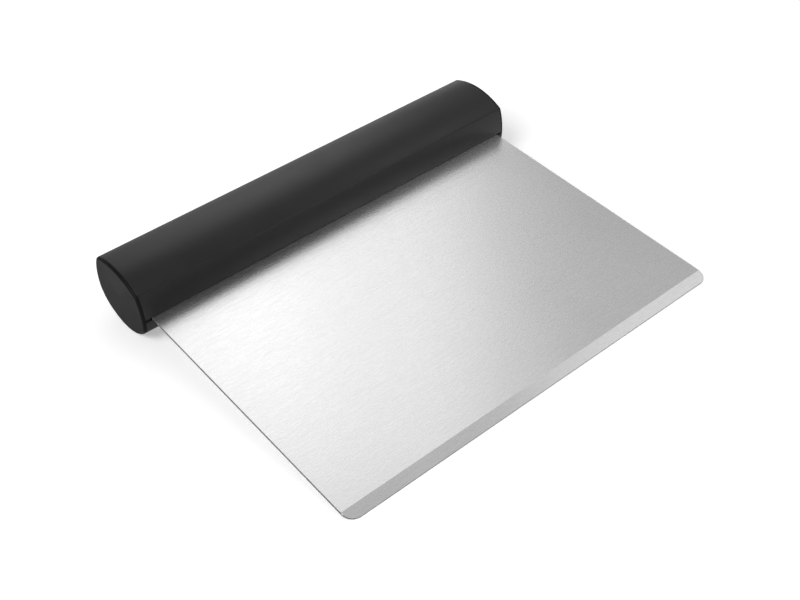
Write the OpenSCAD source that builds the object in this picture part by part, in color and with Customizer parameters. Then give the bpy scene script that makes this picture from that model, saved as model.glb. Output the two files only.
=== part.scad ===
// Pan scraper: a bevel-ground steel blade clamped between two moulded cores inside a tubular
// plastic handle, which an end cap closes at each end.
//
// Built flat first: x runs along the handle, y = 0 is the sharp edge and the handle is at high y,
// z = 0 is the middle of the blade's thickness. at_rest() then tips the whole scraper onto the
// surface it lies on, which it touches with its sharp edge and with the belly of the handle.

/* [Blade] */
// Width of the blade, along the handle
blade_w = 150; // [110:1:220]
// Thickness of the steel sheet
blade_t = 1; // [0.8:0.1:2]
// How far the blade stands out of the handle
blade_out = 101.2; // [60:0.1:160]
// Radius of the two front corners
corner_r = 4; // [2:0.5:12]
// Length of the ground bevel, back from the sharp edge
bevel_l = 4.1; // [2:0.1:10]
// Thickness that the grinding leaves at the sharp edge
edge_t = 0.3; // [0.1:0.05:0.5]

/* [Tang] */
// How far the tang reaches into the handle
tang_l = 20.5; // [17:0.5:22]
// Radius of the tang's rear corners
tang_r = 3; // [1:0.5:6]
// Distance from the handle's front face to the row of screws
screw_at = 12; // [11:0.1:13]

/* [Handle outline] */
// How far the handle runs past the blade at each side
handle_over = 3.4; // [2.8:0.1:8]
// Depth of the handle, front face to back
handle_d = 28.8; // [28:0.1:33]
// Height of the crest above the middle of the blade
crest_h = 12.9; // [12.2:0.1:16]
// Distance from the front face back to the crest
crest_at = 14.1; // [12.5:0.1:16]
// Height of the upper front ridge above the middle of the blade
ridge_h = 9.9; // [9:0.1:10.5]
// How far the front face bulges past the upper ridge
front_crown = 1.9; // [1.2:0.1:3]
// Depth of the belly below the middle of the blade
belly_h = 12.3; // [11.7:0.1:15]
// Distance from the front face back to the lowest line of the belly
belly_at = 15; // [14:0.1:16]
// Radius of the belly
belly_r = 17.7; // [16.5:0.1:22]
// Radius of the crowned back
back_r = 21.2; // [18:0.2:60]
// Radius of the upper ridge
ridge_r = 0.8; // [0.3:0.1:1.5]
// Radius of the shoulder between crest and back
shoulder_r = 2; // [1:0.1:6]
// Radius of the chin between front face and belly
chin_r = 2; // [1:0.1:4]
// Radius of the heel between belly and back
heel_r = 10.3; // [5:0.1:12]
// Wall of the tube
wall = 2; // [1.6:0.1:2.6]

/* [Slot] */
// Gap above and below the blade in the slot
slot_gap = 0.1; // [0.1:0.05:0.6]
// Gap at each side edge of the blade
slot_side_gap = 0.5; // [0.2:0.1:1.2]

/* [End caps] */
// Thickness of the cap that shows outside the tube
cap_rim = 1.1; // [1:0.1:2]
// Rounding of the cap's outer edge
cap_r = 0.9; // [0.3:0.1:1]
// Depth of the cap's web inside the tube
web_t = 1.2; // [1:0.1:1.6]
// Length of the skirt inside the tube
skirt_l = 6; // [4:0.5:9]
// Thickness of the skirt
skirt_t = 1.5; // [1.2:0.1:2]
// Clearance between skirt and tube
cap_fit = 0.15; // [0.1:0.05:0.3]
// Clearance round the tongue that closes the slot
tongue_fit = 0.1; // [0.05:0.05:0.2]
// Diameter of the pegs that key the cap to the cores
peg_d = 4; // [3:0.1:4.6]
// Length of a peg inside its socket
peg_l = 5.5; // [3:0.5:7]
// Clearance round a peg
peg_fit = 0.1; // [0.05:0.05:0.2]

/* [Cores] */
// Clearance between cores and tube
core_fit = 0.2; // [0.15:0.05:0.4]
// Gap between a core's end and the cap's skirt
core_end_gap = 0.3; // [0.2:0.1:1]
// Thickness of the plate that bears on the tang
clamp_t = 2.4; // [2:0.1:3]
// Thickness of the ribs
rib_t = 2; // [1.2:0.1:2.6]
// Width of the ledge's clearance behind the tang
stop_gap = 0.2; // [0.1:0.05:0.4]
// Diameter of the two dowels that locate the tang
dowel_d = 5; // [4:0.1:6]
// Length of a dowel in the upper core
dowel_l = 3; // [2:0.5:4]
// Clearance round a dowel
dowel_fit = 0.15; // [0.1:0.05:0.3]

/* [Screws] */
// Number of screws
screw_n = 4; // [3:1:6]
// Diameter of the screw's shank
screw_d = 3; // [2.5:0.1:3.5]
// Length under the head
screw_l = 11; // [10:0.5:12]
// Diameter of the head
head_d = 5.6; // [5:0.1:6]
// Height of the head
head_h = 2; // [1.6:0.1:2.4]
// Height of the plastic under the head
seat_t = 5; // [4:0.1:6]
// Clearance round the shank in the tang and the lower core
shank_fit = 0.25; // [0.15:0.05:0.4]
// Clearance round the shank where it grips the upper core
grip_fit = 0.05; // [0.03:0.01:0.1]
// Clearance round the head
head_fit = 0.4; // [0.3:0.1:0.6]
// Wall of the bosses round the screws
boss_wall = 1.8; // [1.4:0.1:2.2]

/* [Hidden] */
// facets for true round surfaces, and for the slices that round off a cap's edge
$fn = 96;
eps = 0.01;
cut = 1;

// the section's four crowned sides, as [y, z] centres and radii
crest_y = blade_out + crest_at;
belly_y = blade_out + belly_at;
ridge_y = blade_out + front_crown;
back_y = blade_out + handle_d;
crest_drop = crest_h - ridge_h;
top_r = (pow(crest_at - front_crown, 2) + pow(crest_drop, 2)) / (2 * crest_drop);
front_r = (pow(ridge_h, 2) + pow(front_crown, 2)) / (2 * front_crown);
top_c = [crest_y, crest_h - top_r];
belly_c = [belly_y, belly_r - belly_h];
front_c = [blade_out + front_r, 0];
back_c = [back_y - back_r, 0];

// the height of the handle, and lengths along x
handle_h = crest_h + belly_h;
handle_l = blade_w + 2 * handle_over;
shell_l = handle_l - 2 * cap_rim;
core_l = shell_l - 2 * (skirt_l + core_end_gap);
tongue_x = blade_w / 2 + slot_side_gap;

// the bevel, the slot, the tang and the row of screws
bevel_slope = (blade_t - edge_t) / bevel_l;
slot_h = blade_t + 2 * slot_gap;
tang_y = blade_out + tang_l;
screw_y = blade_out + screw_at;
screw_pitch = core_l / screw_n;
boss_d = head_d + 2 * (head_fit + boss_wall);
pilot_d = screw_d + 2 * grip_fit;
shank_hole_d = screw_d + 2 * shank_fit;
head_z = -blade_t / 2 - seat_t;
tip_z = head_z + screw_l;
tip_l = screw_d / 2;
tip_relief = 0.5;
head_edge = 0.5;
recess_w = screw_d * 0.3;
recess_l = screw_d * 1.1;
recess_h = head_h * 0.6;
dowel_hole_d = dowel_d + 2 * dowel_fit;

// the pegs of the caps and their sockets in the cores
peg_socket_d = peg_d + 2 * peg_fit;
peg_boss_d = peg_socket_d + 2 * boss_wall;
peg_room = 0.3;

// how the scraper lies: the belly's arc and the edge's foot touch the same surface
foot = [0, -blade_t / 2];
to_belly = belly_c - foot;
rest_tilt = asin(belly_r / norm(to_belly)) - atan2(to_belly[1], to_belly[0]);
rest_lift = blade_t / 2 * cos(rest_tilt);
rest_front = (blade_t / 2 - edge_t) * sin(rest_tilt);
rest_back = back_c[0] * cos(rest_tilt) + back_r;

// tips what is built flat onto the surface, with the origin under the middle of its outline
module at_rest()
    translate([0, -(rest_front + rest_back) / 2, rest_lift])
        rotate([rest_tilt, 0, 0])
            children();

// extrudes an outline drawn in y and z along x, from x0 to x1
module along_x(x0, x1)
    translate([x0, 0, 0])
        rotate([90, 0, 90])
            linear_extrude(x1 - x0)
                children();

// a block between two corners
module block(low, high)
    translate(low)
        cube(high - low);

// where a circle round a and one round b cross, on the given side of the line from a to b
function crossing(a, ra, b, rb, side) =
    let (
        v = b - a,
        d = norm(v),
        k = (ra * ra - rb * rb + d * d) / (2 * d),
        h = sqrt(ra * ra - k * k),
        u = v / d
    )
    a + k * u + side * h * [-u[1], u[0]];

// centres of the arcs that round the section's four corners
ridge_c = crossing(top_c, top_r - ridge_r, front_c, front_r - ridge_r, 1);
shoulder_c = crossing(top_c, top_r - shoulder_r, back_c, back_r - shoulder_r, -1);
chin_c = crossing(belly_c, belly_r - chin_r, front_c, front_r - chin_r, -1);
heel_c = crossing(belly_c, belly_r - heel_r, back_c, back_r - heel_r, 1);

// the corner of an outline that an arc round c replaces, between the normals of its two sides
module corner_zone(c, r, side_a, side_b) {
    u = (c - side_a) / norm(c - side_a);
    v = (c - side_b) / norm(c - side_b);
    polygon([c, c + 2 * r * u, c + 2 * r * (u + v), c + 2 * r * v]);
}

module disc(c, r)
    translate(c)
        circle(r);

// rounds one corner of its child with an arc round c, if the inset leaves any arc
module rounded(c, r, side_a, side_b, inset)
    if (r > inset) {
        difference() {
            children();
            corner_zone(c, r, side_a, side_b);
        }
        intersection() {
            disc(c, r - inset);
            corner_zone(c, r, side_a, side_b);
        }
    }
    else
        children();

// the handle's section, or the same drawn in by inset all round
module section(inset = 0)
    rounded(ridge_c, ridge_r, top_c, front_c, inset)
        rounded(shoulder_c, shoulder_r, top_c, back_c, inset)
            rounded(chin_c, chin_r, belly_c, front_c, inset)
                rounded(heel_c, heel_r, belly_c, back_c, inset)
                    intersection() {
                        disc(top_c, top_r - inset);
                        disc(belly_c, belly_r - inset);
                        disc(front_c, front_r - inset);
                        disc(back_c, back_r - inset);
                    }

// x places of the screws, of the ribs on both sides of each, and of the dowels between the outer two
function screw_x(i) = (i - (screw_n - 1) / 2) * screw_pitch;
rib_xs = [for (i = [0 : screw_n - 1], s = [-1, 1]) screw_x(i) + s * screw_pitch / 4];
dowel_xs = [for (i = [0, screw_n - 2]) screw_x(i) + screw_pitch / 2];

module at_screws()
    for (i = [0 : screw_n - 1])
        translate([screw_x(i), screw_y, 0])
            children();

module at_dowels()
    for (x = dowel_xs)
        translate([x, screw_y, 0])
            children();

// [y, z] of a peg, midway between the clamp plate and the core's crest: side 1 above, -1 below
function peg_at(side) =
    let (core_h = (side > 0 ? crest_h : belly_h) - wall - core_fit)
    [side > 0 ? crest_y : belly_y, side * (blade_t / 2 + clamp_t + core_h) / 2];

// a round rod along x, on the line of the right-hand cap's upper or lower peg
module peg_rod(side, x0, x1, d)
    translate([x0, peg_at(side)[0], peg_at(side)[1]])
        rotate([0, 90, 0])
            cylinder(d = d, h = x1 - x0);

// what is drawn above the blade, on its upper side or turned over to its lower side
module on_side(side)
    if (side > 0)
        children();
    else
        mirror([0, 0, 1])
            children();

module both_ends() {
    children();
    mirror([1, 0, 0])
        children();
}

// The blade: one steel sheet, ground on its upper face to the sharp edge, with a full-width tang

// a strip of the sheet from y0 to y1, drawn in at both sides
module strip(y0, y1, inset)
    translate([-blade_w / 2 + inset, y0])
        square([blade_w - 2 * inset, y1 - y0]);

module sheet_outline() {
    strip(0, corner_r, corner_r);
    strip(corner_r, tang_y - tang_r, 0);
    strip(tang_y - tang_r, tang_y, tang_r);
    for (s = [-1, 1]) {
        disc([s * (blade_w / 2 - corner_r), corner_r], corner_r);
        disc([s * (blade_w / 2 - tang_r), tang_y - tang_r], tang_r);
    }
}

// what grinding takes off above the bevel
module ground_away()
    along_x(-blade_w / 2 - cut, blade_w / 2 + cut)
        polygon([
            [-cut, blade_t / 2 - bevel_slope * (bevel_l + cut)],
            [bevel_l, blade_t / 2],
            [bevel_l, blade_t / 2 + cut],
            [-cut, blade_t / 2 + cut]
        ]);

module blade()
    color("gainsboro")
        at_rest()
            difference() {
                translate([0, 0, -blade_t / 2])
                    linear_extrude(blade_t)
                        sheet_outline();
                ground_away();
                at_screws()
                    cylinder(d = shank_hole_d, h = blade_t + 2 * cut, center = true);
                at_dowels()
                    cylinder(d = dowel_hole_d, h = blade_t + 2 * cut, center = true);
            }

// The handle's shell: a tube of one section, slotted from end to end for the blade

module handle_shell()
    color("dimgray")
        at_rest()
            difference() {
                along_x(-shell_l / 2, shell_l / 2)
                    difference() {
                        section();
                        section(wall);
                    }
                block([-shell_l / 2 - cut, blade_out - cut, -slot_h / 2],
                      [shell_l / 2 + cut, crest_y, slot_h / 2]);
            }

// The cores: two ribbed mouldings that clamp the tang and fill the shell

// the space for a core on one side of the tang
module core_space(side)
    intersection() {
        along_x(-core_l / 2, core_l / 2)
            section(wall + core_fit);
        on_side(side)
            block([-core_l / 2, 0, blade_t / 2], [core_l / 2, back_y, handle_h]);
    }

// the clamp plate, cross ribs, spine and bosses of a core, before they are trimmed to its space
module core_frame() {
    block([-core_l / 2, ridge_y, 0], [core_l / 2, back_y, blade_t / 2 + clamp_t]);
    block([-core_l / 2, screw_y - rib_t / 2, 0], [core_l / 2, screw_y + rib_t / 2, handle_h]);
    for (x = rib_xs)
        block([x - rib_t / 2, ridge_y, 0], [x + rib_t / 2, back_y, handle_h]);
    both_ends()
        block([core_l / 2 - rib_t, ridge_y, 0], [core_l / 2, back_y, handle_h]);
    at_screws()
        cylinder(d = boss_d, h = handle_h);
    at_dowels()
        cylinder(d = dowel_hole_d + 2 * boss_wall, h = blade_t / 2 + clamp_t + dowel_l);
}

// a core half with its sockets for the caps' pegs, which leave a little room past each tip
module core_body(side)
    difference() {
        intersection() {
            core_space(side);
            union() {
                on_side(side)
                    core_frame();
                both_ends()
                    peg_rod(side, core_l / 2 - peg_l - boss_wall, core_l / 2, peg_boss_d);
            }
        }
        both_ends()
            peg_rod(side, core_l / 2 - peg_l - peg_room, core_l / 2 + cut, peg_socket_d);
    }

module core_upper()
    color("slategray")
        at_rest()
            difference() {
                core_body(1);
                at_screws()
                    cylinder(d = pilot_d, h = tip_z + tip_relief);
                at_dowels()
                    cylinder(d = dowel_hole_d, h = blade_t / 2 + dowel_l + dowel_fit);
            }

module core_lower()
    color("lightslategray")
        at_rest() {
            difference() {
                core_body(-1);
                at_screws() {
                    translate([0, 0, head_z - cut])
                        cylinder(d = shank_hole_d, h = seat_t + 2 * cut);
                    translate([0, 0, -belly_h])
                        cylinder(d = head_d + 2 * head_fit, h = belly_h + head_z);
                }
            }
            at_dowels()
                translate([0, 0, -blade_t / 2 - clamp_t])
                    cylinder(d = dowel_d, h = clamp_t + blade_t + dowel_l);
            tang_stop();
        }

// the ledge behind the tang, as thick as the blade, that the upper core lies on
module tang_stop()
    intersection() {
        along_x(-core_l / 2, core_l / 2)
            section(wall + core_fit);
        block([-core_l / 2, tang_y + stop_gap, -blade_t / 2], [core_l / 2, back_y, blade_t / 2]);
    }

// The screws: pan heads below, tips in the upper core, with a cross recess in each head

// half of a screw's section, from the head's crown to the tip
module screw_profile()
    polygon([
        [0, -head_h],
        [head_d / 2 - head_edge, -head_h],
        [head_d / 2, -head_h + head_edge],
        [head_d / 2, 0],
        [screw_d / 2, 0],
        [screw_d / 2, screw_l - tip_l],
        [screw_d / 8, screw_l],
        [0, screw_l]
    ]);

module screw()
    translate([0, 0, head_z])
        difference() {
            rotate_extrude()
                screw_profile();
            for (a = [0, 90])
                rotate([0, 0, a])
                    block([-recess_l / 2, -recess_w / 2, -head_h - cut],
                          [recess_l / 2, recess_w / 2, -head_h + recess_h]);
        }

module core_screws()
    color("silver")
        at_rest()
            at_screws()
                screw();

// The end caps: a rounded rim outside the tube, and a skirt, a tongue and two pegs inside it

// the part outside the tube, its outer edge rounded in slices
module cap_face()
    hull() {
        along_x(shell_l / 2, handle_l / 2 - cap_r)
            section();
        for (a = [0 : 15 : 90]) {
            x = handle_l / 2 - cap_r + cap_r * sin(a);
            along_x(x - eps, x)
                section(cap_r * (1 - cos(a)));
        }
    }

module cap_skirt()
    difference() {
        along_x(shell_l / 2 - skirt_l, shell_l / 2)
            section(wall + cap_fit);
        along_x(shell_l / 2 - skirt_l - cut, shell_l / 2 - web_t)
            section(wall + cap_fit + skirt_t);
        block([0, blade_out - cut, -slot_h / 2], [tongue_x, crest_y, slot_h / 2]);
    }

// closes the slot between the blade's side edge and the cap's rim, flush with the front face
module cap_tongue()
    intersection() {
        along_x(tongue_x, shell_l / 2)
            section();
        block([tongue_x, blade_out - cut, -slot_h / 2 + tongue_fit],
              [shell_l / 2, ridge_y + wall + skirt_t, slot_h / 2 - tongue_fit]);
    }

module cap_pegs()
    for (side = [1, -1])
        peg_rod(side, core_l / 2 - peg_l, shell_l / 2, peg_d);

module end_cap() {
    cap_face();
    cap_skirt();
    cap_tongue();
    cap_pegs();
}

module end_cap_right()
    color("darkslategray")
        at_rest()
            end_cap();

module end_cap_left()
    color("darkslategray")
        at_rest()
            mirror([1, 0, 0])
                end_cap();

blade();
handle_shell();
core_upper();
core_lower();
core_screws();
end_cap_left();
end_cap_right();
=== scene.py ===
# %% [markdown]
# A pan scraper is one wide sheet of stainless steel, held along its back in a tubular black handle.
# This lesson makes its looks: the blade, the tube of the handle and its two end caps are modelled
# again as fine meshes, exactly where the construction model has them. The cores and screws inside
# the handle stay as they come, and get materials of their own.
# Everything is in metres. The frame comes first, because every size that it already holds is read
# from it and not typed again.

# %% Load the frame
import math

import bmesh
import bpy
from mathutils import Matrix, Vector
from mathutils.geometry import intersect_sphere_sphere_2d


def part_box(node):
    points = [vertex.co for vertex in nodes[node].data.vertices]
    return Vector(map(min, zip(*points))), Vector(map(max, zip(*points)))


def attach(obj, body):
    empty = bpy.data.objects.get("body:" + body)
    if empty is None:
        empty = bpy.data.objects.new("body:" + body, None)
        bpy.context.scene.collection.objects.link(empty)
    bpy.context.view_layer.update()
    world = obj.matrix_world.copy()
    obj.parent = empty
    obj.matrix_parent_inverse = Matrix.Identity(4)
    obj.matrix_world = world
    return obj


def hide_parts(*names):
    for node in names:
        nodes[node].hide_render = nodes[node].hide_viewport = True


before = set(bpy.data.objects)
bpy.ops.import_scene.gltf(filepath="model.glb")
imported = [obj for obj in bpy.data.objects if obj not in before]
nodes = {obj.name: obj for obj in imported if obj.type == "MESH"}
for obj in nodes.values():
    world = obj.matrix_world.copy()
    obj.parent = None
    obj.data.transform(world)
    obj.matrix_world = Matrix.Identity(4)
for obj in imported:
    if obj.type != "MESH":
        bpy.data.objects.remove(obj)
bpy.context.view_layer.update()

MM = 0.001
print("nodes:", sorted(nodes))

# %% [markdown]
# The camera stands where the photograph was taken from, to the left of the scraper and above it.
# Its place and angles were found by fitting a pinhole camera to the straight edges of the blade and
# the handle. The photograph is tipped a little, because it was levelled on the flat blade and the
# blade lies at a slope, so the camera also has a small roll.

# %% Camera
PHOTO_WIDTH = 800
FOCAL_PIXELS = 1174.85
SENSOR = 36.0
CAMERA_AT = Vector((-182.57, -240.28, 250.02)) * MM
AZIMUTH = math.radians(-36.698)
ELEVATION = math.radians(40.056)
ROLL = math.radians(-4.933)


def aimed(azimuth, elevation, roll=0.0):
    """The turn of a camera or lamp that looks at the scraper from an azimuth and an elevation."""
    turn = Matrix.Rotation(azimuth, 3, "Z") @ Matrix.Rotation(math.pi / 2 - elevation, 3, "X")
    return turn @ Matrix.Rotation(roll, 3, "Z")


camera = bpy.data.objects.new("camera", bpy.data.cameras.new("camera"))
camera.data.sensor_width = SENSOR
camera.data.lens = FOCAL_PIXELS / PHOTO_WIDTH * SENSOR
camera.data.clip_start = 10 * MM
camera.data.clip_end = 100.0
turn = aimed(AZIMUTH, ELEVATION, ROLL)
camera.matrix_world = Matrix.Translation(CAMERA_AT) @ turn.to_4x4()
bpy.context.scene.collection.objects.link(camera)
bpy.context.scene.camera = camera
bpy.context.scene.view_settings.view_transform = "Standard"
print("lens in mm:", round(camera.data.lens, 2))

# %% [markdown]
# Brushed steel has almost no colour of its own: what it shows is the room. So the lamps are placed
# by what the scraper has to mirror and by where its shadow falls. In the photograph the left half of
# the blade is nearly white and its right half falls to a mid grey: that takes a wide soft lamp behind
# the scraper, two narrow ones on top of it and a weak low one under it. The ground bevel leans the
# other way and brightens to the right, so it gets a small lamp there. A weak lamp in front draws the
# light line along the handle's ridge. The shadow is soft and falls to the right, so most of the light
# comes from a large lamp at the left. Lit by all of them, a white card looks about white.

# %% Lamps
LAMP_DISTANCE = 2.5


def soft_lamp(name, azimuth, elevation, width, height, radiance):
    """A square-on soft box that faces the scraper, as bright as radiance when it is looked into."""
    data = bpy.data.lights.new(name, "AREA")
    data.shape = "RECTANGLE"
    data.size = width
    data.size_y = height
    data.energy = radiance * math.pi * width * height
    lamp = bpy.data.objects.new(name, data)
    turn = aimed(math.radians(azimuth), math.radians(elevation))
    lamp.matrix_world = Matrix.Translation(turn @ Vector((0, 0, LAMP_DISTANCE))) @ turn.to_4x4()
    lamp.visible_camera = False
    bpy.context.scene.collection.objects.link(lamp)
    return lamp


lamps = [
    soft_lamp("left_lamp", -78, 50, 1.4, 1.2, 7.6),
    soft_lamp("back_lamp", 158, 47, 1.7, 1.7, 0.39),
    soft_lamp("back_right_lamp", 140, 46, 0.7, 1.1, 0.35),
    soft_lamp("back_middle_lamp", 158, 46, 0.7, 1.1, 0.49),
    soft_lamp("back_low_lamp", 158, 22, 1.2, 1.0, 0.52),
    soft_lamp("right_lamp", 80, 50, 0.8, 0.8, 0.78),
    soft_lamp("front_lamp", 32, 30, 1.2, 0.9, 1.2),
]
print("lamps:", [lamp.name for lamp in lamps])

# %% [markdown]
# The room is a world whose level changes with the direction: dim at the horizon, lighter overhead,
# and darker at the left, as if a black card stood there. That card keeps the rims of the handle
# nearly black, so that they stand out from the white. The camera sees the world plain white, and
# gloss sees that white too, but only low down, where the background really is.

# %% World
CEILING = 0.5
HORIZON = 0.24
CEILING_FROM = 0.8
LEFT_LEVEL = 0.2
LEFT_END = -0.25
RIGHT_FROM = 0.2
HAZE_TOP = 0.12


def add_node(tree, kind, x, y, **settings):
    """A new node of a kind at a place in the editor, with its settings."""
    node = tree.nodes.new(kind)
    node.location = (x, y)
    for name, value in settings.items():
        setattr(node, name, value)
    return node


def seen_directly(tree, x, y):
    """1 for rays from the camera, or by way of gloss or glass, and 0 for light on its way."""
    path = add_node(tree, "ShaderNodeLightPath", x, y)
    gloss = add_node(tree, "ShaderNodeMath", x + 200, y, operation="MAXIMUM")
    seen = add_node(tree, "ShaderNodeMath", x + 400, y, operation="MAXIMUM")
    tree.links.new(path.outputs["Is Glossy Ray"], gloss.inputs[0])
    tree.links.new(path.outputs["Is Transmission Ray"], gloss.inputs[1])
    tree.links.new(gloss.outputs[0], seen.inputs[0])
    tree.links.new(path.outputs["Is Camera Ray"], seen.inputs[1])
    return path, seen


world = bpy.data.worlds.new("studio")
world.use_nodes = True
bpy.context.scene.world = world
tree = world.node_tree
tree.nodes.clear()
out = add_node(tree, "ShaderNodeOutputWorld", 800, 0)
sky = add_node(tree, "ShaderNodeBackground", 600, 0)
where = add_node(tree, "ShaderNodeTexCoord", -400, 0)
split = add_node(tree, "ShaderNodeSeparateXYZ", -200, 0)
tree.links.new(where.outputs["Generated"], split.inputs[0])
levels = {}
for label, axis, limits in (
    ("room", "Z", (0.0, CEILING_FROM, HORIZON, CEILING)),
    ("card", "X", (LEFT_END, RIGHT_FROM, LEFT_LEVEL, 1.0)),
    ("haze", "Z", (0.0, HAZE_TOP, 1.0, 0.0)),
):
    level = add_node(tree, "ShaderNodeMapRange", 0, -300 * len(levels), interpolation_type="SMOOTHSTEP")
    tree.links.new(split.outputs[axis], level.inputs["Value"])
    for socket, value in zip(("From Min", "From Max", "To Min", "To Max"), limits):
        level.inputs[socket].default_value = value
    levels[label] = level.outputs["Result"]
path, seen = seen_directly(tree, -400, -900)
room = add_node(tree, "ShaderNodeMath", 200, 0, operation="MULTIPLY")
haze = add_node(tree, "ShaderNodeMath", 200, -300, operation="MULTIPLY")
white = add_node(tree, "ShaderNodeMath", 200, -600, operation="MAXIMUM")
strength = add_node(tree, "ShaderNodeMath", 400, 0, operation="MAXIMUM")
tree.links.new(levels["room"], room.inputs[0])
tree.links.new(levels["card"], room.inputs[1])
tree.links.new(levels["haze"], haze.inputs[0])
tree.links.new(seen.outputs[0], haze.inputs[1])
tree.links.new(haze.outputs[0], white.inputs[0])
tree.links.new(path.outputs["Is Camera Ray"], white.inputs[1])
tree.links.new(room.outputs[0], strength.inputs[0])
tree.links.new(white.outputs[0], strength.inputs[1])
tree.links.new(strength.outputs[0], sky.inputs["Strength"])
tree.links.new(sky.outputs[0], out.inputs["Surface"])
sky.inputs["Color"].default_value = (1, 1, 1, 1)
print("world from", HORIZON, "at the horizon to", CEILING, "overhead")

# %% [markdown]
# The floor is a pale matt sheet. What the lamps leave short of white is added as a glow that only
# the camera and the reflections see, the reflections less of it, so the sheet is white and still
# keeps the shadow. Away from the scraper the glow takes over, and the sheet ends in the white of the
# world without a line.

# %% Floor
FLOOR_SIZE = 8.0
FLOOR_COLOUR = 0.8
FLOOR_GLOW = 0.41
GLOW_IN_GLOSS = 0.15
FADE_FROM = 0.35
FADE_TO = 0.9

bm = bmesh.new()
bmesh.ops.create_grid(bm, x_segments=1, y_segments=1, size=FLOOR_SIZE / 2)
floor = bpy.data.objects.new("floor", bpy.data.meshes.new("floor"))
bm.to_mesh(floor.data)
bm.free()
bpy.context.scene.collection.objects.link(floor)

paper = bpy.data.materials.new("paper")
paper.use_nodes = True
tree = paper.node_tree
tree.nodes.clear()
out = add_node(tree, "ShaderNodeOutputMaterial", 1200, 0)
matt = add_node(tree, "ShaderNodeBsdfDiffuse", 400, 200)
matt.inputs["Color"].default_value = (FLOOR_COLOUR, FLOOR_COLOUR, FLOOR_COLOUR, 1)
glow = add_node(tree, "ShaderNodeEmission", 400, 0)
near = add_node(tree, "ShaderNodeAddShader", 600, 100)
far = add_node(tree, "ShaderNodeEmission", 600, -100)
mix = add_node(tree, "ShaderNodeMixShader", 1000, 0)
path, seen = seen_directly(tree, -600, -300)
in_gloss = add_node(tree, "ShaderNodeMath", -200, 0, operation="MULTIPLY")
in_gloss.inputs[1].default_value = GLOW_IN_GLOSS
near_seen = add_node(tree, "ShaderNodeMath", 0, 0, operation="MAXIMUM")
strength = add_node(tree, "ShaderNodeMath", 200, 0, operation="MULTIPLY")
strength.inputs[1].default_value = FLOOR_GLOW
where = add_node(tree, "ShaderNodeTexCoord", -600, 400)
length = add_node(tree, "ShaderNodeVectorMath", -400, 400, operation="LENGTH")
fade = add_node(tree, "ShaderNodeMapRange", -200, 400, interpolation_type="SMOOTHSTEP")
fade.inputs["From Min"].default_value = FADE_FROM
fade.inputs["From Max"].default_value = FADE_TO
far_seen = add_node(tree, "ShaderNodeMath", 800, 300, operation="MULTIPLY")
tree.links.new(seen.outputs[0], in_gloss.inputs[0])
tree.links.new(in_gloss.outputs[0], near_seen.inputs[0])
tree.links.new(path.outputs["Is Camera Ray"], near_seen.inputs[1])
tree.links.new(near_seen.outputs[0], strength.inputs[0])
tree.links.new(strength.outputs[0], glow.inputs["Strength"])
tree.links.new(matt.outputs[0], near.inputs[0])
tree.links.new(glow.outputs[0], near.inputs[1])
tree.links.new(where.outputs["Object"], length.inputs[0])
tree.links.new(length.outputs["Value"], fade.inputs["Value"])
tree.links.new(fade.outputs["Result"], far_seen.inputs[0])
tree.links.new(seen.outputs[0], far_seen.inputs[1])
tree.links.new(far_seen.outputs[0], mix.inputs[0])
tree.links.new(near.outputs[0], mix.inputs[1])
tree.links.new(far.outputs[0], mix.inputs[2])
tree.links.new(mix.outputs[0], out.inputs["Surface"])
floor.data.materials.append(paper)
print("floor:", FLOOR_SIZE, "m square")

# %% [markdown]
# The scraper is modelled flat and then tipped, as the construction model is: x runs along the
# handle, y is 0 at the sharp edge and grows towards the handle, and z is 0 in the middle of the
# sheet. The handle's section is four crowned sides, front, top, back and belly, with a rounded corner
# between each two: a crisp ridge and shoulder above, a soft chin and heel below, where the fingers
# close on it. Every side is an arc, so the section is a chain of spins: one vertex is spun about each
# side's centre in turn. A curve object or a list of points could draw the same outline, but the spin
# keeps true arcs and needs only the centres.

# %% Sizes of the section
BLADE_OUT = 101.2 * MM
BLADE_THICKNESS = 1.0 * MM
HANDLE_DEPTH = 28.8 * MM
CREST_HEIGHT = 12.9 * MM
CREST_AT = 14.1 * MM
RIDGE_HEIGHT = 9.9 * MM
FRONT_CROWN = 1.9 * MM
BELLY_DEPTH = 12.3 * MM
BELLY_AT = 15.0 * MM
BELLY_RADIUS = 17.7 * MM
BACK_RADIUS = 21.2 * MM
RIDGE_RADIUS = 0.8 * MM
SHOULDER_RADIUS = 2.0 * MM
CHIN_RADIUS = 2.0 * MM
HEEL_RADIUS = 10.3 * MM
SHARPEST = 0.05 * MM
EDGE_LAND = 0.3 * MM

crest_drop = CREST_HEIGHT - RIDGE_HEIGHT
crest_run = CREST_AT - FRONT_CROWN
top_radius = (crest_run ** 2 + crest_drop ** 2) / (2 * crest_drop)
front_radius = (RIDGE_HEIGHT ** 2 + FRONT_CROWN ** 2) / (2 * FRONT_CROWN)
top_centre = Vector((BLADE_OUT + CREST_AT, CREST_HEIGHT - top_radius))
belly_centre = Vector((BLADE_OUT + BELLY_AT, BELLY_RADIUS - BELLY_DEPTH))
front_centre = Vector((BLADE_OUT + front_radius, 0))
back_centre = Vector((BLADE_OUT + HANDLE_DEPTH - BACK_RADIUS, 0))
print("top and front radius in mm:", round(top_radius / MM, 3), round(front_radius / MM, 3))

# %% How the scraper lies
to_belly = belly_centre + Vector((0, BLADE_THICKNESS / 2))
tilt = math.asin(BELLY_RADIUS / to_belly.length) - math.atan2(to_belly.y, to_belly.x)
lift = BLADE_THICKNESS / 2 * math.cos(tilt)
front_end = (BLADE_THICKNESS / 2 - EDGE_LAND) * math.sin(tilt)
back_end = back_centre.x * math.cos(tilt) + BACK_RADIUS
middle = (front_end + back_end) / 2
AT_REST = Matrix.Translation((0, -middle, lift)) @ Matrix.Rotation(tilt, 4, "X")
print("tipped back by", round(math.degrees(tilt), 3), "degrees")

# %% Helpers for outlines
LAST_STEPS = 6


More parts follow.
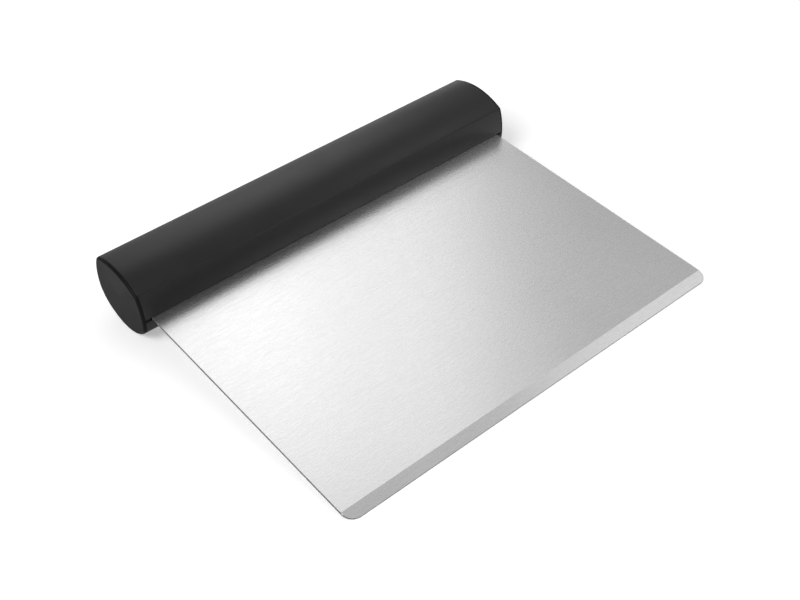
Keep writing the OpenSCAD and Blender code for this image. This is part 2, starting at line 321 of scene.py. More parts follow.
def turn_to(bm, vert, centre, towards, steps):
    """Spins a vertex along the section until it lies towards a direction from the centre."""
    start = vert.co.yz - centre
    spun = bmesh.ops.spin(
        bm,
        geom=[vert],
        cent=(vert.co.x, centre.x, centre.y),
        axis=(-1, 0, 0),
        angle=start.angle(towards),
        steps=steps,
        use_merge=False,
    )
    return next(part for part in spun["geom_last"] if isinstance(part, bmesh.types.BMVert))


def corner_centre(side_a, side_b, radius, inset, pick):
    """Centre of the arc that rounds the corner between two crowned sides, the upper one for max."""
    (centre_a, radius_a), (centre_b, radius_b) = side_a, side_b
    shrink = radius + inset
    crossings = intersect_sphere_sphere_2d(centre_a, radius_a - shrink, centre_b, radius_b - shrink)
    return pick(crossings, key=lambda crossing: crossing.y)


def outline(bm, x, inset=0.0, lip=0.0):
    """The handle's section at x, drawn in by inset, as a loop of edges. A lip leaves the loop open
    at the front, by that much above and below the blade's middle."""
    before = set(bm.edges)
    front, top = (front_centre, front_radius), (top_centre, top_radius)
    back, belly = (back_centre, BACK_RADIUS), (belly_centre, BELLY_RADIUS)
    first = vert = bmesh.ops.create_vert(
        bm, co=(x, front_centre.x - math.sqrt((front_radius - inset) ** 2 - lip ** 2), lip)
    )["vert"][0]
    for side, next_side, radius, pick, side_steps, corner_steps in (
        (front, top, RIDGE_RADIUS, max, 12, 8),
        (top, back, SHOULDER_RADIUS, max, 36, 12),
        (back, belly, HEEL_RADIUS, min, 24, 20),
        (belly, front, CHIN_RADIUS, min, 32, 10),
    ):
        radius = max(radius - inset, SHARPEST)
        corner = corner_centre(side, next_side, radius, inset, pick)
        vert = turn_to(bm, vert, side[0], corner - side[0], side_steps)
        vert = turn_to(bm, vert, corner, corner - next_side[0], corner_steps)
    towards = Vector((first.co.y, -lip)) - front_centre
    vert = turn_to(bm, vert, front_centre, towards, LAST_STEPS)
    if lip == 0:
        bmesh.ops.remove_doubles(bm, verts=[first, vert], dist=SHARPEST / 10)
    return [edge for edge in bm.edges if edge not in before]


def rounded(bm, edges, radius, segments):
    """Rounds edges of a mesh with a bevel of that radius."""
    bmesh.ops.bevel(
        bm,
        geom=edges,
        offset=radius,
        offset_type="OFFSET",
        segments=segments,
        profile=0.5,
        affect="EDGES",
        material=-1,
        clamp_overlap=True,
    )


def finished(name, bm, sharp_angle=30):
    """Tips a mesh that was built flat onto the floor, and makes it an object at the origin."""
    bmesh.ops.remove_doubles(bm, verts=bm.verts[:], dist=SHARPEST / 50)
    bmesh.ops.recalc_face_normals(bm, faces=bm.faces[:])
    bmesh.ops.transform(bm, matrix=AT_REST, verts=bm.verts[:])
    mesh = bpy.data.meshes.new(name)
    bm.to_mesh(mesh)
    bm.free()
    mesh.shade_smooth()
    mesh.set_sharp_from_angle(angle=math.radians(sharp_angle))
    piece = bpy.data.objects.new(name, mesh)
    bpy.context.scene.collection.objects.link(piece)
    return piece


def report(piece, node):
    """Prints how closely a piece fills the box of its node, and whether its mesh is closed."""
    low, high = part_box(node)
    corners = [v.co for v in piece.data.vertices]
    off = max(
        max(abs(min(c[i] for c in corners) - low[i]), abs(max(c[i] for c in corners) - high[i]))
        for i in range(3)
    )
    check = bmesh.new()
    check.from_mesh(piece.data)
    loose = sum(not edge.is_manifold for edge in check.edges)
    volume = check.calc_volume() / MM ** 3
    check.free()
    print(piece.name, len(piece.data.polygons), "faces,", round(volume), "mm3,", loose, "open edges,")
    print("  its box is within", round(off / MM, 4), "mm of", node)


# %% [markdown]
# The blade is one sheet, one millimetre thick, whose tang runs on into the handle. It could start as
# a cube with bevelled corners, but the tang has holes for four screws and two dowels, so it starts
# as an outline: half of it is drawn by moving and spinning one vertex, mirrored, and filled with the
# circles of the holes left open. The filled face is pulled up to the thickness of the sheet. Then a
# sloping plane cuts the ground bevel, which is just what the grinding wheel does, and it rounds the
# end of the bevel at the two corners without any help.

# %% Sizes of the blade
CORNER_RADIUS = 4.0 * MM
TANG_LENGTH = 20.5 * MM
TANG_RADIUS = 3.0 * MM
BEVEL_LENGTH = 4.1 * MM
SCREW_HOLE = 3.5 * MM
DOWEL_HOLE = 5.3 * MM
SCREW_ROW = 12.0 * MM
SCREWS = 4
CORE_SHORTER = 12.6 * MM
SHEET_BREAK = 0.06 * MM

blade_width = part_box("blade")[1].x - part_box("blade")[0].x
shell_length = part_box("handle_shell")[1].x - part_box("handle_shell")[0].x
screw_pitch = (shell_length - CORE_SHORTER) / SCREWS
print("blade", round(blade_width / MM, 2), "mm wide, screws every", round(screw_pitch / MM, 2), "mm")


# %% Outline of the blade with its holes
CORNER_STEPS = 16
HOLE_STEPS = 48


def pull_to(bm, vert, x, y):
    """Draws a straight edge on from a vertex, to x and y."""
    new = bmesh.ops.extrude_vert_indiv(bm, verts=[vert])["verts"][0]
    new.co = (x, y, vert.co.z)
    return new


def turn_flat(bm, vert, x, y):
    """Draws a quarter round on from a vertex, about x and y, to the left."""
    spun = bmesh.ops.spin(
        bm,
        geom=[vert],
        cent=(x, y, vert.co.z),
        axis=(0, 0, 1),
        angle=math.pi / 2,
        steps=CORNER_STEPS,
        use_merge=False,
    )
    return next(part for part in spun["geom_last"] if isinstance(part, bmesh.types.BMVert))


half_width = blade_width / 2
tang_end = BLADE_OUT + TANG_LENGTH
bm = bmesh.new()
vert = bmesh.ops.create_vert(bm, co=(0, 0, -BLADE_THICKNESS / 2))["vert"][0]
vert = pull_to(bm, vert, half_width - CORNER_RADIUS, 0)
vert = turn_flat(bm, vert, half_width - CORNER_RADIUS, CORNER_RADIUS)
vert = pull_to(bm, vert, half_width, tang_end - TANG_RADIUS)
vert = turn_flat(bm, vert, half_width - TANG_RADIUS, tang_end - TANG_RADIUS)
vert = pull_to(bm, vert, 0, tang_end)
bmesh.ops.mirror(bm, geom=bm.verts[:] + bm.edges[:], axis="X", merge_dist=SHARPEST)
screw_xs = [(i - (SCREWS - 1) / 2) * screw_pitch for i in range(SCREWS)]
dowel_xs = [screw_xs[0] + screw_pitch / 2, screw_xs[-1] - screw_pitch / 2]
holes = [(x, SCREW_HOLE) for x in screw_xs] + [(x, DOWEL_HOLE) for x in dowel_xs]
for x, diameter in holes:
    place = Matrix.Translation((x, BLADE_OUT + SCREW_ROW, -BLADE_THICKNESS / 2))
    bmesh.ops.create_circle(bm, segments=HOLE_STEPS, radius=diameter / 2, matrix=place)
bmesh.ops.triangle_fill(bm, edges=bm.edges[:], use_beauty=True, normal=(0, 0, 1))
print("sheet outline:", len(bm.edges), "edges,", len(bm.faces), "faces")

# %% Thickness, bevel and broken edges
SHEARED_CORNER = math.radians(40)
FLAT = math.radians(1)
SHEET_BREAK_STEPS = 2

pulled = bmesh.ops.extrude_face_region(bm, geom=bm.faces[:])
upper = [part for part in pulled["geom"] if isinstance(part, bmesh.types.BMVert)]
bmesh.ops.translate(bm, verts=upper, vec=(0, 0, BLADE_THICKNESS))
bmesh.ops.recalc_face_normals(bm, faces=bm.faces[:])
slope = math.atan((BLADE_THICKNESS - EDGE_LAND) / BEVEL_LENGTH)
cut = bmesh.ops.bisect_plane(
    bm,
    geom=bm.verts[:] + bm.edges[:] + bm.faces[:],
    dist=SHARPEST / 50,
    plane_co=(0, BEVEL_LENGTH, BLADE_THICKNESS / 2),
    plane_no=(0, -math.sin(slope), math.cos(slope)),
    clear_outer=True,
)
rim = [part for part in cut["geom_cut"] if isinstance(part, bmesh.types.BMEdge)]
bmesh.ops.edgeloop_fill(bm, edges=rim)
bmesh.ops.dissolve_limit(bm, angle_limit=FLAT, verts=bm.verts[:], edges=bm.edges[:])
bmesh.ops.recalc_face_normals(bm, faces=bm.faces[:])
corners = [e for e in bm.edges if e.calc_face_angle(0) > SHEARED_CORNER]
rounded(bm, corners, SHEET_BREAK, SHEET_BREAK_STEPS)
print("bevel slope in degrees:", round(math.degrees(slope), 2))

# %% Which finish each face of the blade has
# A face that is neither ground nor sheared keeps 0, the finish of the sheet.
GROUND = 1
SHEARED = 2
UPRIGHT = 0.9
SHEET_SHARP = 8

ground_normal = Vector((0, -math.sin(slope), math.cos(slope)))
across = bm.loops.layers.uv.new("across_the_grain")
for face in bm.faces:
    if face.normal.dot(ground_normal) > math.cos(slope / 2):
        face.material_index = GROUND
    elif abs(face.normal.z) < UPRIGHT:
        face.material_index = SHEARED
    for loop in face.loops:
        loop[across].uv = (loop.vert.co.y / blade_width, -loop.vert.co.x / blade_width)
blade = finished("scraper_blade", bm, SHEET_SHARP)
report(blade, "blade")

# %% [markdown]
# The tube of the handle has one section from end to end, so it is that section filled and pulled
# along x: two outlines, the outer and the inner, joined at the lips of the slot. The lips and the
# ends are real moulded edges, so they get a small round. At the ends this also makes one side of
# the fine groove where tube and cap meet.

# %% Handle tube
WALL = 2.0 * MM
SLOT_HEIGHT = 1.2 * MM
SEAM_BREAK = 0.12 * MM
SEAM_STEPS = 3

bm = bmesh.new()
left = -shell_length / 2
for inset in (0.0, WALL):
    outline(bm, left, inset, SLOT_HEIGHT / 2)
ends = [v for v in bm.verts if len(v.link_edges) == 1]
for z_sign in (1, -1):
    pair = [v for v in ends if v.co.z * z_sign > 0]
    bmesh.ops.contextual_create(bm, geom=pair)
bmesh.ops.edgeloop_fill(bm, edges=bm.edges[:])
pulled = bmesh.ops.extrude_face_region(bm, geom=bm.faces[:])
far_end = [part for part in pulled["geom"] if isinstance(part, bmesh.types.BMVert)]
bmesh.ops.translate(bm, verts=far_end, vec=(shell_length, 0, 0))
bmesh.ops.recalc_face_normals(bm, faces=bm.faces[:])
print("tube:", len(bm.faces), "faces before its edges are rounded")
# %% Round the edges of the tube
SQUARE_END = math.radians(60)

square = [e for e in bm.edges if e.calc_face_angle(0) > SQUARE_END]
rounded(bm, square, SEAM_BREAK, SEAM_STEPS)
tube = finished("handle_tube", bm)
report(tube, "handle_shell")

# %% [markdown]
# An end cap closes each end. Outside it is a thin plate with a rounded rim, and inside it has a
# skirt that fits the tube, a tongue that closes the end of the slot beside the blade, and two pegs
# that key it to the cores. Rim and skirt are one stack of outlines at different x and inset, bridged
# one to the next: that follows the section exactly, which a bevel can't do at the small ridges. The
# notch for the blade and the tongue and pegs are simple blocks and rods, cut and joined by Booleans.

# %% Sizes of the caps
RIM_RADIUS = 0.9 * MM
RIM_STEPS = 10
CAP_FIT = 0.15 * MM
SKIRT_LENGTH = 6.0 * MM
SKIRT_THICKNESS = 1.5 * MM
SKIRT_CHAMFER = 0.3 * MM
HAIR = 0.002 * MM
FACE_RING = 0.3 * MM
WEB = 1.2 * MM
TONGUE_HEIGHT = 1.0 * MM
TONGUE_GAP = 0.5 * MM
PEG_DIAMETER = 4.0 * MM
UPPER_PEG_Z = 6.8 * MM
LOWER_PEG_Z = -6.5 * MM
PEG_TIP_AT = 65.5 * MM
PEG_STEPS = 32

outer_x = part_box("end_cap_right")[1].x
seam_x = shell_length / 2
skirt_in = WALL + CAP_FIT
hollow_in = skirt_in + SKIRT_THICKNESS


# %% The stack of outlines


def quarter_round(x, radius, steps, inwards):
    """x and inset of the slices of a rounded edge that ends at x."""
    angles = [math.pi / 2 * i / steps for i in range(steps + 1)]
    slices = [(x - inwards * radius * (1 - math.sin(a)), radius * (1 - math.cos(a))) for a in angles]
    return slices


rim = quarter_round(outer_x, RIM_RADIUS, RIM_STEPS, 1)
seam = quarter_round(seam_x, SEAM_BREAK, SEAM_STEPS, -1)
slices = [
    (seam_x - WEB, hollow_in),
    (seam_x - SKIRT_LENGTH + HAIR, hollow_in),
    (seam_x - SKIRT_LENGTH, skirt_in + SKIRT_CHAMFER),
    (seam_x - SKIRT_LENGTH + SKIRT_CHAMFER, skirt_in),
    (seam_x + HAIR, skirt_in),
    *reversed(seam),
    *rim,
]
print("cap:", len(slices), "outlines")


def solid_from(name, bm):
    """An object for use as a tool in a Boolean, in the same flat frame."""
    mesh = bpy.data.meshes.new(name)
    bm.to_mesh(mesh)
    bm.free()
    tool = bpy.data.objects.new(name, mesh)
    bpy.context.scene.collection.objects.link(tool)
    return tool


def block(name, low, high):
    """A block between two corners."""
    bm = bmesh.new()
    size = Vector(high) - Vector(low)
    place = Matrix.Translation((Vector(low) + Vector(high)) / 2) @ Matrix.Diagonal((*size, 1))
    bmesh.ops.create_cube(bm, size=1.0, matrix=place)
    return solid_from(name, bm)


def rod(name, x0, x1, y, z, diameter):
    """A rod along x."""
    bm = bmesh.new()
    place = Matrix.Translation(((x0 + x1) / 2, y, z)) @ Matrix.Rotation(math.pi / 2, 4, "Y")
    bmesh.ops.create_cone(
        bm,
        cap_ends=True,
        segments=PEG_STEPS,
        radius1=diameter / 2,
        radius2=diameter / 2,
        depth=x1 - x0,
        matrix=place,
    )
    return solid_from(name, bm)


# %% Build the right cap, then mirror it for the left


def cap_body():
    """The right cap's rim, skirt and web, from the stack of outlines."""
    bm = bmesh.new()
    loops = [outline(bm, x, inset) for x, inset in slices]
    for near_loop, far_loop in zip(loops, loops[1:]):
        bmesh.ops.bridge_loops(bm, edges=near_loop + far_loop)
    bmesh.ops.edgeloop_fill(bm, edges=loops[0])
    end_face = bmesh.ops.edgeloop_fill(bm, edges=loops[-1])["faces"]
    bmesh.ops.inset_region(bm, faces=end_face, thickness=FACE_RING, use_even_offset=True)
    bmesh.ops.recalc_face_normals(bm, faces=bm.faces[:])
    return solid_from("cap_body", bm)


tongue_x = half_width + TONGUE_GAP
half_slot = SLOT_HEIGHT / 2
half_tongue = TONGUE_HEIGHT / 2
tongue_back = BLADE_OUT + FRONT_CROWN + WALL + SKIRT_THICKNESS
peg_end = seam_x - WEB / 2
body = cap_body()
notch_far = (tongue_x, top_centre.x, half_slot)
tongue_far = (outer_x - MM, tongue_back, half_tongue)
tools = [
    ("DIFFERENCE", block("notch", (0, BLADE_OUT - MM, -half_slot), notch_far)),
    ("UNION", block("tongue", (tongue_x, BLADE_OUT, -half_tongue), tongue_far)),
    ("UNION", rod("upper_peg", PEG_TIP_AT, peg_end, top_centre.x, UPPER_PEG_Z, PEG_DIAMETER)),
    ("UNION", rod("lower_peg", PEG_TIP_AT, peg_end, belly_centre.x, LOWER_PEG_Z, PEG_DIAMETER)),
]
for operation, tool in tools:
    step = body.modifiers.new(tool.name, "BOOLEAN")
    step.operation = operation
    step.object = tool
    step.solver = "EXACT"
shaped = body.evaluated_get(bpy.context.evaluated_depsgraph_get())
caps = []
for name, sign in (("cap_right", 1), ("cap_left", -1)):
    bm = bmesh.new()
    bm.from_mesh(shaped.to_mesh())
    bmesh.ops.transform(bm, matrix=Matrix.Diagonal((sign, 1, 1, 1)), verts=bm.verts[:])
    caps.append(finished(name, bm))
for tool in [body] + [tool for operation, tool in tools]:
    bpy.data.objects.remove(tool)
cap_right, cap_left = caps
report(cap_right, "end_cap_right")
report(cap_left, "end_cap_left")

# %% [markdown]
# Materials come next. A material is a small circuit: patterns on one side, the Principled shader on
# the other. Most of the typing is links and numbers, so a few helpers keep the rest readable. Most
# take plain numbers or the outputs of other nodes, and give back an output to go on with.

# %% Helpers for patterns
NOISE_LOW = 0.3
NOISE_HIGH = 0.7


def feed(tree, value, socket):
    """Gives a socket a link where the value is another socket, and else the plain value."""
    if isinstance(value, bpy.types.NodeSocket):
        tree.links.new(value, socket)
    else:
        socket.default_value = value


def maths(tree, operation, x, y, *values):
    """A Math node on numbers or sockets."""
    node = add_node(tree, "ShaderNodeMath", x, y, operation=operation)
    for value, socket in zip(values, node.inputs):
        feed(tree, value, socket)
    return node.outputs[0]


def spread(tree, x, y, value, low, high, new_low, new_high):
    """A Map Range node that turns low to high into new_low to new_high, softly, without overshoot."""
    node = add_node(tree, "ShaderNodeMapRange", x, y, interpolation_type="SMOOTHSTEP")
    for number, socket in zip((value, low, high, new_low, new_high), node.inputs):
        feed(tree, number, socket)
    return node.outputs["Result"]


def noise(tree, x, y, vector, scale, detail, roughness=0.5):
    """A Noise node, as a value from 0 to 1 whose middle is a half."""
    node = add_node(tree, "ShaderNodeTexNoise", x, y)
    feed(tree, vector, node.inputs["Vector"])
    node.inputs["Scale"].default_value = scale
    node.inputs["Detail"].default_value = detail
    node.inputs["Roughness"].default_value = roughness
    return node.outputs["Fac"]


def from_noise(tree, x, y, value):
    """Noise seldom leaves the middle of its range, so this stretches it to the whole of 0 to 1."""
    return spread(tree, x, y, value, NOISE_LOW, NOISE_HIGH, 0.0, 1.0)


def new_group(name, inputs, outputs):
    """A node group with named sockets. Returns it and its two end nodes."""
    group = bpy.data.node_groups.new(name, "ShaderNodeTree")
    for label, kind in inputs:
        group.interface.new_socket(label, in_out="INPUT", socket_type=kind)
    for label in outputs:
        group.interface.new_socket(label, in_out="OUTPUT", socket_type="NodeSocketFloat")
    given = add_node(group, "NodeGroupInput", -1200, 0)
    result = add_node(group, "NodeGroupOutput", 1200, 0)
    print("group", name, "gives", outputs)
    return group, given.outputs, result.inputs


# %% [markdown]
# The sheet of the blade is brushed: a belt has left short strokes along x, each a millimetre or two
# long and a fraction of one wide, and between them finer and longer hairlines. A picture of brushed
# metal could be pulled over it, but then it would repeat and blur. Here noise is stretched along x
# until its blots turn to strokes, and a slower noise pushes them sideways a little, because no belt
# runs quite straight. The group doesn't know which metal it is on, so the screws use it as well.

# %% Group: brushed strokes
WANDER_SCALE = 90.0
PATCH_SCALE = 28.0
HAIR_LONGER = 0.3
HAIR_FINER = 4.0

brushed, given, result = new_group(
    "brushed strokes",
    [
        ("Vector", "NodeSocketVector"),
        ("Stroke Length", "NodeSocketFloat"),
        ("Stroke Width", "NodeSocketFloat"),
        ("Wander", "NodeSocketFloat"),
    ],
    ["Strokes", "Hairlines", "Patches"],
)
split = add_node(brushed, "ShaderNodeSeparateXYZ", -900, 0)
feed(brushed, given["Vector"], split.inputs[0])
drift = noise(brushed, -900, 300, given["Vector"], WANDER_SCALE, 1.0)
drift = maths(brushed, "SUBTRACT", -700, 300, drift, 0.5)
drift = maths(brushed, "MULTIPLY_ADD", -500, 200, drift, given["Wander"], split.outputs["Y"])
along = maths(brushed, "DIVIDE", -300, 200, split.outputs["X"], given["Stroke Length"])
beside = maths(brushed, "DIVIDE", -300, 0, drift, given["Stroke Width"])
deep = maths(brushed, "DIVIDE", -300, -200, split.outputs["Z"], given["Stroke Width"])
grid = add_node(brushed, "ShaderNodeCombineXYZ", -100, 0)
for value, socket in zip((along, beside, deep), grid.inputs):
    feed(brushed, value, socket)
finer = add_node(brushed, "ShaderNodeVectorMath", 100, -200, operation="MULTIPLY")
feed(brushed, grid.outputs[0], finer.inputs[0])
finer.inputs[1].default_value = (HAIR_LONGER, HAIR_FINER, HAIR_FINER)
strokes = noise(brushed, 300, 200, grid.outputs[0], 1.0, 2.0)
hairs = noise(brushed, 300, -200, finer.outputs[0], 1.0, 2.0)
patches = noise(brushed, 300, -500, given["Vector"], PATCH_SCALE, 2.0)
feed(brushed, from_noise(brushed, 600, 200, strokes), result["Strokes"])
feed(brushed, from_noise(brushed, 600, -200, hairs), result["Hairlines"])
feed(brushed, from_noise(brushed, 600, -500, patches), result["Patches"])

# %% [markdown]
# Moulded plastic copies the steel of its mould. Its grain is a fine spark-eroded texture, a few
# tenths of a millimetre across, and over it the gloss wanders in large soft clouds, where the melt
# met the mould a little warmer or cooler. One group makes both, and the black handle and the grey
# cores use it at different sizes.

# %% Group: moulded grain
moulded, given, result = new_group(
    "moulded grain",
    [
        ("Vector", "NodeSocketVector"),
        ("Grain Size", "NodeSocketFloat"),
        ("Cloud Size", "NodeSocketFloat"),
    ],
    ["Grain", "Clouds"],
)
for label, socket_y, detail in (("Grain", 200, 3.0), ("Clouds", -200, 2.0)):
    size = given["Grain Size"] if label == "Grain" else given["Cloud Size"]
    per_metre = maths(moulded, "DIVIDE", -700, socket_y, 1.0, size)
    scaled = add_node(moulded, "ShaderNodeVectorMath", -400, socket_y, operation="SCALE")
    feed(moulded, given["Vector"], scaled.inputs[0])
    feed(moulded, per_metre, scaled.inputs["Scale"])
    blots = noise(moulded, -100, socket_y, scaled.outputs[0], 1.0, detail)
    feed(moulded, from_noise(moulded, 300, socket_y, blots), result[label])

# %% [markdown]
# The edges of the handle are made a little glossier, and they are painted a little lighter: the lighter
# colour is a painted highlight along the ridge and the other edges. The mask for that compares two
# normals: the Bevel node's, which looks as if every edge were rounded by a small radius, and the
# surface's own. They agree on flat ground and part near an edge, so one minus their dot product, scaled
# up, is an edge mask that follows the shape wherever it goes. Painting the mask by hand would have to
# be done again for each new size.

# %% Group: painted edge sheen
BLOT_SCALE = 400.0
FULL_SHEEN = 0.12

painted_sheen, given, result = new_group(
    "rubbed edges",
    [("Radius", "NodeSocketFloat"), ("Unevenness", "NodeSocketFloat"), ("Vector", "NodeSocketVector")],
    ["Rubbed"],
)
round_off = add_node(painted_sheen, "ShaderNodeBevel", -900, 200, samples=6)
feed(painted_sheen, given["Radius"], round_off.inputs["Radius"])
surface = add_node(painted_sheen, "ShaderNodeNewGeometry", -900, -100)
agree = add_node(painted_sheen, "ShaderNodeVectorMath", -600, 100, operation="DOT_PRODUCT")
feed(painted_sheen, round_off.outputs[0], agree.inputs[0])
feed(painted_sheen, surface.outputs["Normal"], agree.inputs[1])
blots = noise(painted_sheen, -600, -300, given["Vector"], BLOT_SCALE, 3.0)
blots = maths(painted_sheen, "MULTIPLY_ADD", -300, -300, blots, given["Unevenness"], 1.0)
apart = maths(painted_sheen, "SUBTRACT", -300, 100, 1.0, agree.outputs["Value"])
apart = maths(painted_sheen, "MULTIPLY", 0, 0, apart, blots)
feed(painted_sheen, spread(painted_sheen, 300, 0, apart, 0.0, FULL_SHEEN, 0.0, 1.0), result["Rubbed"])

# %% [markdown]
# Every material starts alike, with a Principled shader and object coordinates turned back by the
# tilt at rest, so that a stroke along the blade's own x stays one. What is the same all over, such
# as the anisotropy, is a number on the shader's own socket. What changes over the surface is a link.

# %% Start of every material


def socket_name(label):
    """The name in the editor of a socket that is written as a keyword here."""
    return label.replace("_", " ").title().replace("Ior", "IOR")


def start_material(name, metallic, **constants):
    """A material with a Principled shader. Returns it, its tree, its shader and the coordinates."""
    material = bpy.data.materials.new(name)
    material.use_nodes = True
    tree = material.node_tree
    tree.nodes.clear()
    shader = add_node(tree, "ShaderNodeBsdfPrincipled", 900, 0)
    out = add_node(tree, "ShaderNodeOutputMaterial", 1200, 0)
    tree.links.new(shader.outputs[0], out.inputs["Surface"])
    shader.inputs["Metallic"].default_value = metallic
    for label, value in constants.items():
        shader.inputs[socket_name(label)].default_value = value
    where = add_node(tree, "ShaderNodeTexCoord", -1100, 0)
    level = add_node(tree, "ShaderNodeMapping", -900, 0, vector_type="POINT")
    level.inputs["Rotation"].default_value = (-tilt, 0, 0)
    tree.links.new(where.outputs["Object"], level.inputs["Vector"])
    return material, tree, shader, level.outputs[0]


def use_group(tree, group, x, y, **values):
    """Places a node group in a material and gives it its values."""
    node = add_node(tree, "ShaderNodeGroup", x, y)
    node.node_tree = group
    for label, value in values.items():
        feed(tree, value, node.inputs[socket_name(label)])
    return node.outputs


def blend_colours(tree, x, y, amount, first, second):
    """A Mix node between two colours."""
    node = add_node(tree, "ShaderNodeMix", x, y, data_type="RGBA")
    feed(tree, amount, node.inputs["Factor"])
    node.inputs["A"].default_value = (*first, 1)
    node.inputs["B"].default_value = (*second, 1)
    return node.outputs["Result"]


def relief(tree, x, y, height, depth, shader):
    """A Bump node of a depth in metres, into the shader's normal."""
    node = add_node(tree, "ShaderNodeBump", x, y)
    node.inputs["Distance"].default_value = depth
    feed(tree, height, node.inputs["Height"])
    tree.links.new(node.outputs[0], shader.inputs["Normal"])


print("helpers ready, patterns are turned back by", round(math.degrees(tilt), 2), "degrees")

# %% [markdown]
# Brushed steel mirrors sharply along its strokes and blurs across them, which is why a lamp over it
# becomes a long streak. That is anisotropy. It needs to know which way is across, and the blade's
# own UV map says so: its first axis runs straight back, over the strokes. The strokes themselves
# then tint the metal a little, change its gloss and tilt its surface by a hair.

# %% Brushed steel of the sheet
ACROSS = 0.65
TINT_BY_PATCHES = 0.4
TINT_BY_STROKES = 0.6
DULL_BY_HAIRLINES = 0.06
DULL_BY_PATCHES = 0.015
GLOSS_MARGIN = 0.05
HAIRLINE_HEIGHT = 0.25


def brushed_steel(name, dark, light, roughness, length, width, wander, depth):
    """Stainless steel with strokes along x."""
    material, tree, shader, vector = start_material(name, 1.0, anisotropic=ACROSS)
    marks = use_group(
        tree, brushed, -600, 0, vector=vector, stroke_length=length, stroke_width=width, wander=wander
    )
    tone = maths(tree, "MULTIPLY_ADD", -300, 300, marks["Patches"], TINT_BY_PATCHES, 0.0)
    tone = maths(tree, "MULTIPLY_ADD", -100, 300, marks["Strokes"], TINT_BY_STROKES, tone)
    feed(tree, blend_colours(tree, 200, 300, tone, dark, light), shader.inputs["Base Color"])
    base = roughness - GLOSS_MARGIN
    dull = maths(tree, "MULTIPLY_ADD", -300, 0, marks["Hairlines"], DULL_BY_HAIRLINES, base)
    dull = maths(tree, "MULTIPLY_ADD", -100, 0, marks["Patches"], DULL_BY_PATCHES, dull)
    feed(tree, dull, shader.inputs["Roughness"])
    height = maths(
        tree, "MULTIPLY_ADD", -300, -300, marks["Hairlines"], HAIRLINE_HEIGHT, marks["Strokes"]
    )
    relief(tree, 200, -300, height, depth, shader)
    grain = add_node(tree, "ShaderNodeTangent", 600, -300, direction_type="UV_MAP")
    grain.uv_map = "across_the_grain"
    tree.links.new(grain.outputs[0], shader.inputs["Tangent"])
    return material


sheet_steel = brushed_steel(
    "brushed_sheet",
    dark=(0.75, 0.75, 0.755),
    light=(0.81, 0.81, 0.82),
    roughness=0.27,
    length=1.6 * MM,
    width=0.45 * MM,
    wander=2.0 * MM,
    depth=0.003 * MM,
)
print("material of the sheet:", sheet_steel.name)

# %% [markdown]
# The bevel is ground by a finer wheel after brushing: its strokes are closer and shallower.

# %% Ground steel of the bevel
bevel_steel = brushed_steel(
    "ground_bevel",
    dark=(0.74, 0.74, 0.745),
    light=(0.80, 0.80, 0.805),
    roughness=0.30,
    length=2.0 * MM,
    width=0.35 * MM,
    wander=0.3 * MM,
    depth=0.002 * MM,
)
print("material of the bevel:", bevel_steel.name)

# %% [markdown]
# The thin sides of the sheet are sheared. A press leaves them dull: a burnished band at the top, a torn
# one below, and fine scores straight through the thickness. Only the scores are drawn here. Their
# colour is darkened well below that of steel: partly by the dull sheared steel, partly by painted shade
# of the gap under the blade.

# %% Sheared steel of the sides, darkened with painted shade
sheared_steel_and_shade, tree, shader, vector = start_material("sheared_edge_and_shade", 1.0)
scores = use_group(
    tree, brushed, -600, 0, vector=vector, stroke_length=0.15 * MM, stroke_width=1.5 * MM, wander=0.0
)
# These dark colours are partly dull sheared steel and partly painted shade of the gap under the blade.
feed(
    tree,
    blend_colours(tree, 200, 300, scores["Strokes"], (0.2, 0.2, 0.205), (0.34, 0.34, 0.345)),
    shader.inputs["Base Color"],
)
dull = maths(tree, "MULTIPLY_ADD", -100, 0, scores["Strokes"], 0.15, 0.42)
feed(tree, dull, shader.inputs["Roughness"])
relief(tree, 200, -300, scores["Strokes"], 0.008 * MM, shader)

# %% [markdown]
# The handle is black nylon with a satin finish. Black plastic is never quite black, but this one is
# close, so nearly all that is seen of it is reflection, and the care goes into the gloss: the grain
# breaks it up, the clouds make it drift, and the edges are a little shinier, and painted a little
# greyer as a painted highlight.

# %% Black nylon
TINT_BY_CLOUDS = 0.3
DULL_BY_CLOUDS = 0.05
SHINE_AT_EDGES = -0.06
SHEEN_RADIUS = 0.35 * MM


def black_nylon(name, roughness, gloss, grain_depth):
    """Black moulded plastic with a satin grain."""
    material, tree, shader, vector = start_material(name, 0.0, specular_ior_level=gloss)
    skin = use_group(tree, moulded, -600, 0, vector=vector, grain_size=0.3 * MM, cloud_size=18 * MM)
    edge_sheen = use_group(tree, painted_sheen, -600, -300, vector=vector, radius=SHEEN_RADIUS, unevenness=0.6)
    # The edge mask also lightens the colour a little: a painted highlight along the edges.
    tone = maths(tree, "MULTIPLY_ADD", -100, 300, skin["Clouds"], TINT_BY_CLOUDS, edge_sheen["Rubbed"])
    feed(
        tree,
        blend_colours(tree, 200, 300, tone, (0.005, 0.005, 0.0054), (0.009, 0.009, 0.0094)),
        shader.inputs["Base Color"],
    )
    dull = maths(tree, "MULTIPLY_ADD", -300, 0, skin["Clouds"], DULL_BY_CLOUDS, roughness)
    dull = maths(tree, "MULTIPLY_ADD", -100, 0, edge_sheen["Rubbed"], SHINE_AT_EDGES, dull)
    feed(tree, dull, shader.inputs["Roughness"])
    relief(tree, 200, -300, skin["Grain"], grain_depth, shader)
    return material


tube_nylon = black_nylon("black_nylon_tube", roughness=0.35, gloss=0.5, grain_depth=0.003 * MM)
cap_nylon = black_nylon("black_nylon_cap", roughness=0.5, gloss=0.13, grain_depth=0.005 * MM)
print("black plastics:", tube_nylon.name, cap_nylon.name)

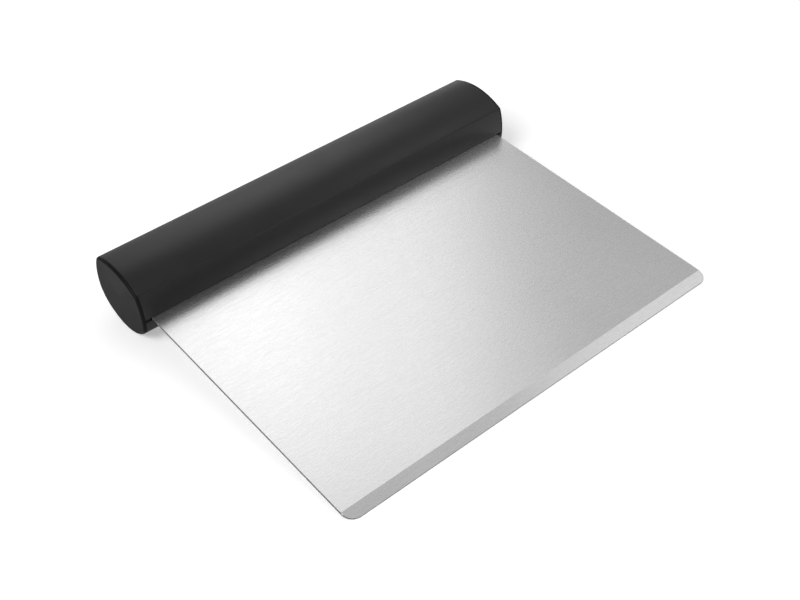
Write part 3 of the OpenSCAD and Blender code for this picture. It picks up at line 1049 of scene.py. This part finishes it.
# %% [markdown]
# The cores are never seen once the handle is closed, but they are seen on a bench. They are moulded
# in plain grey nylon, with a coarser grain and clearer clouds. The screws are steel, plated, with
# very fine turning marks.

# %% Grey nylon and plated screws
core_nylon, tree, shader, vector = start_material("grey_nylon_core", 0.0)
skin = use_group(tree, moulded, -600, 0, vector=vector, grain_size=0.5 * MM, cloud_size=9 * MM)
feed(
    tree,
    blend_colours(tree, 200, 300, skin["Clouds"], (0.27, 0.28, 0.29), (0.33, 0.34, 0.35)),
    shader.inputs["Base Color"],
)
dull = maths(tree, "MULTIPLY_ADD", -100, 0, skin["Clouds"], 0.12, 0.44)
feed(tree, dull, shader.inputs["Roughness"])
relief(tree, 200, -300, skin["Grain"], 0.01 * MM, shader)

screw_steel, tree, shader, vector = start_material("plated_screw", 1.0)
turned = use_group(
    tree,
    brushed,
    -600,
    0,
    vector=vector,
    stroke_length=1.0 * MM,
    stroke_width=0.1 * MM,
    wander=0.2 * MM,
)
feed(
    tree,
    blend_colours(tree, 200, 300, turned["Patches"], (0.60, 0.61, 0.63), (0.68, 0.67, 0.64)),
    shader.inputs["Base Color"],
)
dull = maths(tree, "MULTIPLY_ADD", -100, 0, turned["Strokes"], 0.1, 0.25)
feed(tree, dull, shader.inputs["Roughness"])
relief(tree, 200, -300, turned["Hairlines"], 0.002 * MM, shader)

# %% Give every piece its material
for material in (sheet_steel, bevel_steel, sheared_steel_and_shade):
    blade.data.materials.append(material)
tube.data.materials.append(tube_nylon)
for piece in (cap_left, cap_right):
    piece.data.materials.append(cap_nylon)
for name, material in (
    ("core_upper", core_nylon),
    ("core_lower", core_nylon),
    ("core_screws", screw_steel),
):
    nodes[name].data.materials.clear()
    nodes[name].data.materials.append(material)
    print(name, "is", material.name)

# %% Attach
for piece, node, slot in (
    (blade, "blade", "blade_steel"),
    (tube, "handle_shell", "handle_plastic"),
    (cap_left, "end_cap_left", "handle_plastic"),
    (cap_right, "end_cap_right", "handle_plastic"),
):
    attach(piece, "root")
    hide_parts(node)
